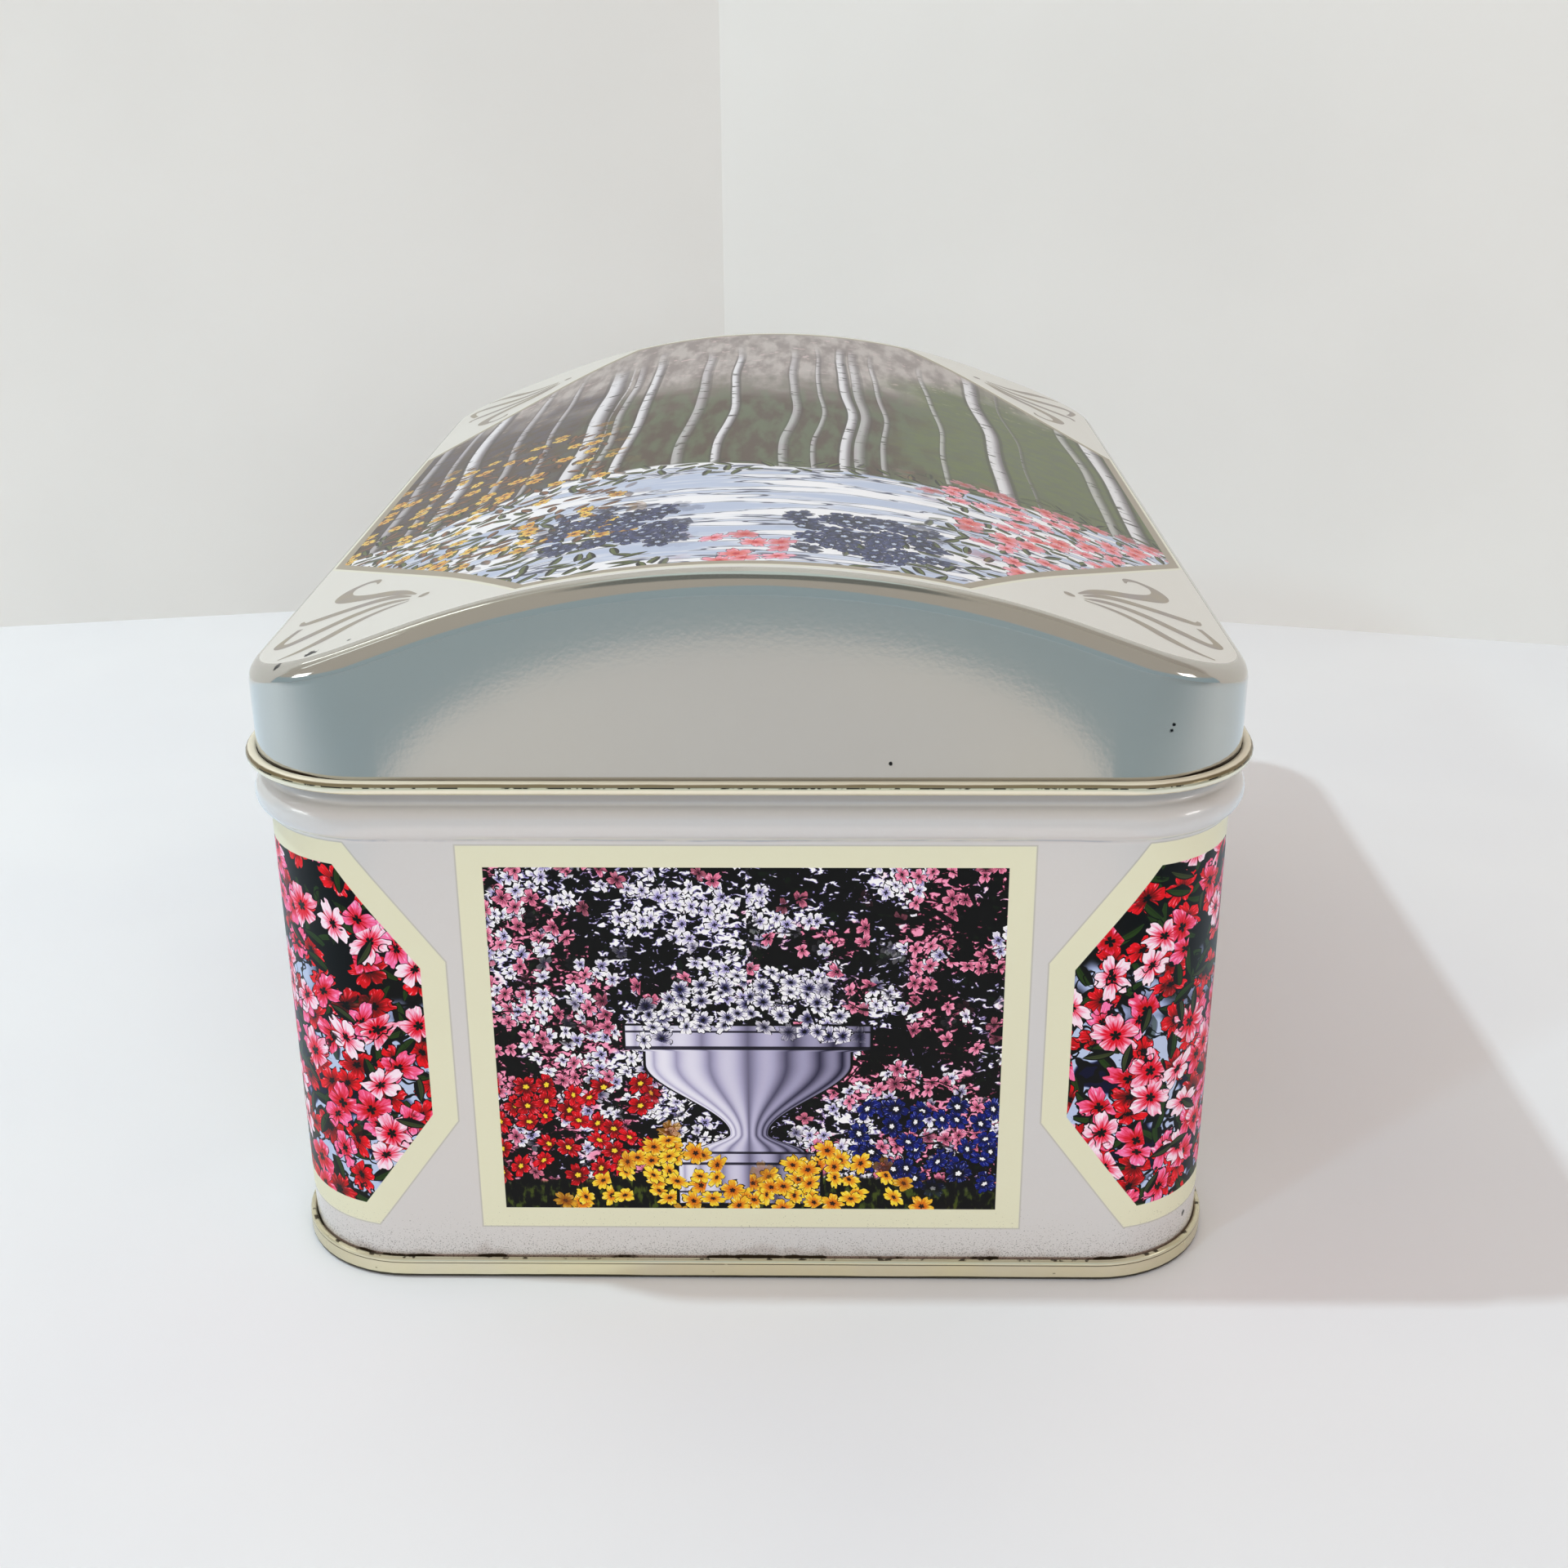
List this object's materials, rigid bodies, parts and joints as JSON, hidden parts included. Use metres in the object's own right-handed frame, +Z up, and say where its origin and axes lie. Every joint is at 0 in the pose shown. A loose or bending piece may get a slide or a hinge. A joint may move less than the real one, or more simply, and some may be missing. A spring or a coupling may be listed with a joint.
{
  "type": "tin box",
  "caption": "Rectangular tinplate box with rounded corners, a beaded wall, a seamed foot and a domed lift-off lid with a curled edge, for papers and keepsakes.",
  "frame": {"origin": "middle of the foot, on the surface that the box stands on", "axes": "+Z up, +Y along the box from the pictured end to the far end, +X across towards the back wall with the lock seam"},
  "size_m": [0.1126, 0.1576, 0.0861],
  "materials": {
    "body_enamel": "satin-gloss lithographed enamel in silver grey with printed panels, gold lacquer inside",
    "gold_tinplate": "gold-lacquered tinplate, worn along the seam",
    "lid_enamel": "satin-gloss lithographed enamel in silver grey with a printed top, gold curled edge"
  },
  "bodies": {
    "tin": {"body_wall": "body_enamel", "base_plate": "gold_tinplate"},
    "lid": {"lid_shell": "lid_enamel"}
  },
  "joints": [
    {"name": "lid_lift", "type": "slide", "parent": "tin", "child": "lid", "axis": [0, 0, 1], "range_m": [0, 0.06]}
  ]
}
